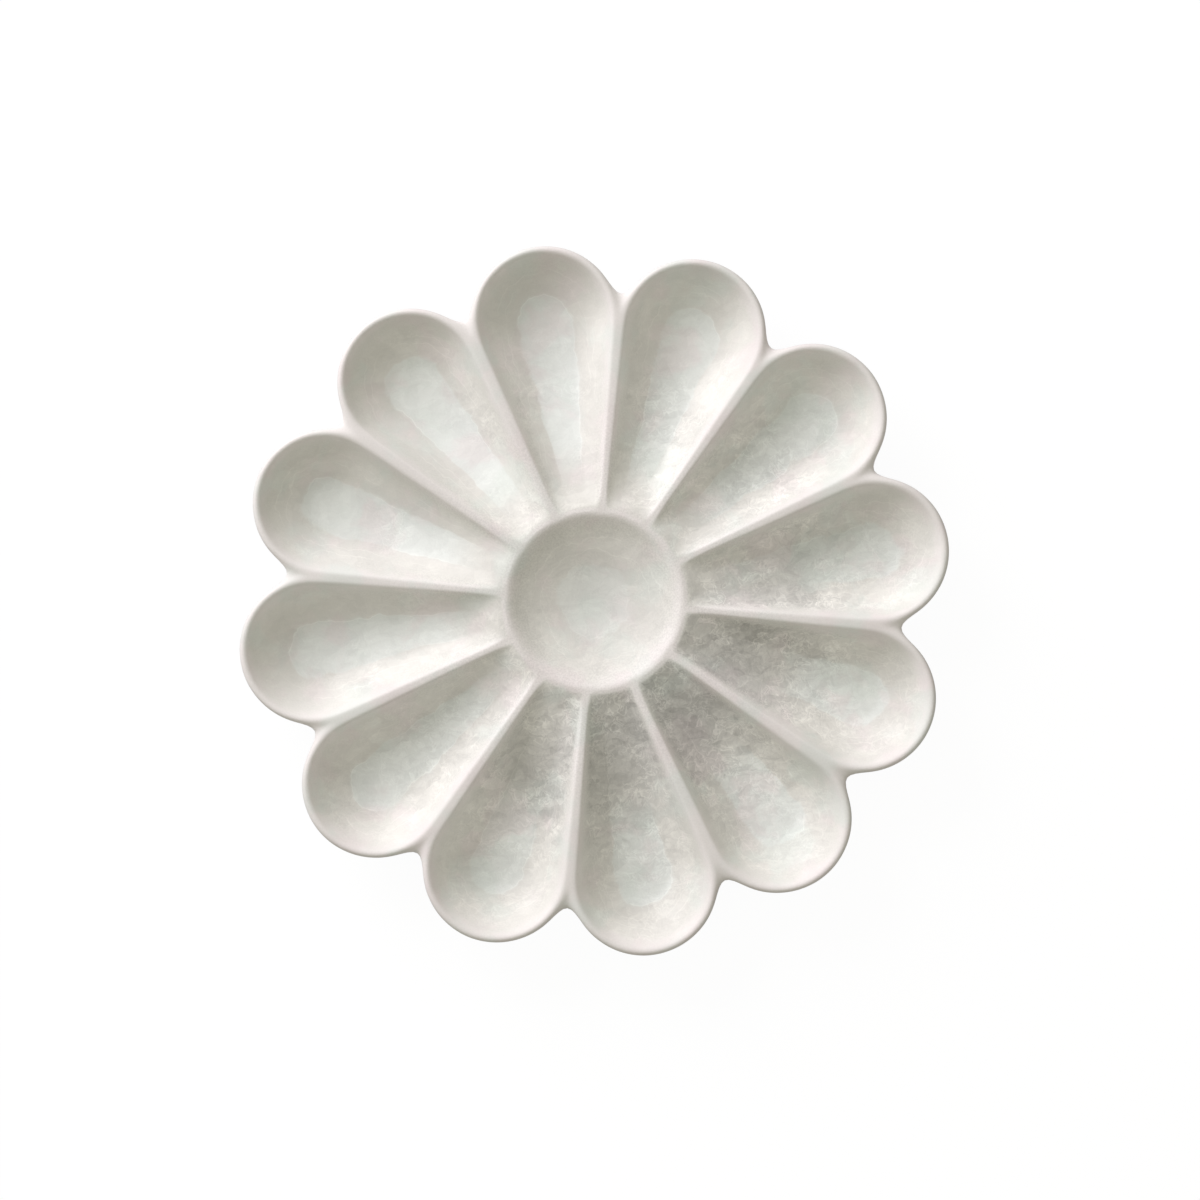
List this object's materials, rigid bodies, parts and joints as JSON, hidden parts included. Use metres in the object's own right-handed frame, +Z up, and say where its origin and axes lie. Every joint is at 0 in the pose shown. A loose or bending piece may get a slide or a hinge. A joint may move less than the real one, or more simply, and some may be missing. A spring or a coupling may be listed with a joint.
{
  "type": "oyster platter",
  "caption": "Round flower-shaped stoneware platter for serving oysters, with a spoon-shaped well in each petal, a sauce well in the middle and a foot ring below.",
  "frame": {"origin": "on the table, under the middle of the platter: bottom centre of its bounding box, on the plane of the foot ring's land", "axes": "+Z up, square to the table; +X along the axis of one petal, and +Y along the axis of another"},
  "size_m": [0.3566, 0.3566, 0.0323],
  "materials": {
    "stoneware": "fired stoneware under the glaze",
    "foot_stoneware": "bare fired stoneware, wiped and slightly rough",
    "face_glaze": "glossy mottled white reactive glaze, pooled grey-blue in the wells and warm on the crests",
    "back_glaze": "plain white glaze, semi-gloss"
  },
  "bodies": {
    "root": {"stoneware_body": "stoneware", "foot_ring": "foot_stoneware", "top_glaze": "face_glaze", "underside_glaze": "back_glaze", "foot_recess_glaze": "back_glaze"}
  },
  "joints": []
}
